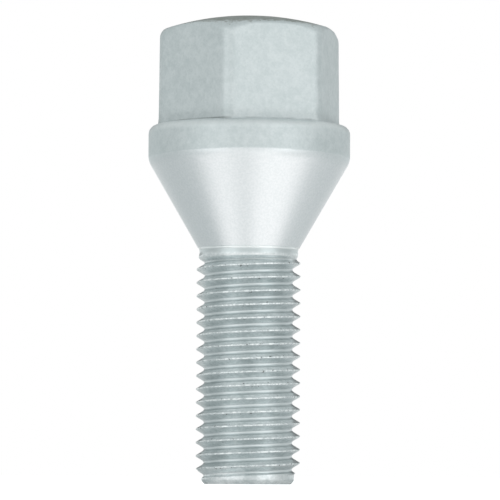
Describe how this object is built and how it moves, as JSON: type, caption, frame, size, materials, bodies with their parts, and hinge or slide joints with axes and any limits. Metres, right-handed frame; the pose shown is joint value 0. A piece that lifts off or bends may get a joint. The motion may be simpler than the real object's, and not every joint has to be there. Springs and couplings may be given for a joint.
{
  "type": "wheel bolt",
  "caption": "Zinc-plated wheel bolt with a domed hexagonal head, a round collar, a conical seat and a right-hand M12 x 1.5 thread.",
  "frame": {"origin": "centre of the flat end face of the shank, at the bottom of the part's box", "axes": "+Z along the bolt's axis from the end of the thread to the domed head; the front of the picture is -Y"},
  "size_m": [0.0228, 0.0228, 0.0527],
  "materials": {
    "zinc_plated_steel": "satin"
  },
  "bodies": {
    "root": {"wheel_bolt": "zinc_plated_steel"}
  },
  "joints": []
}
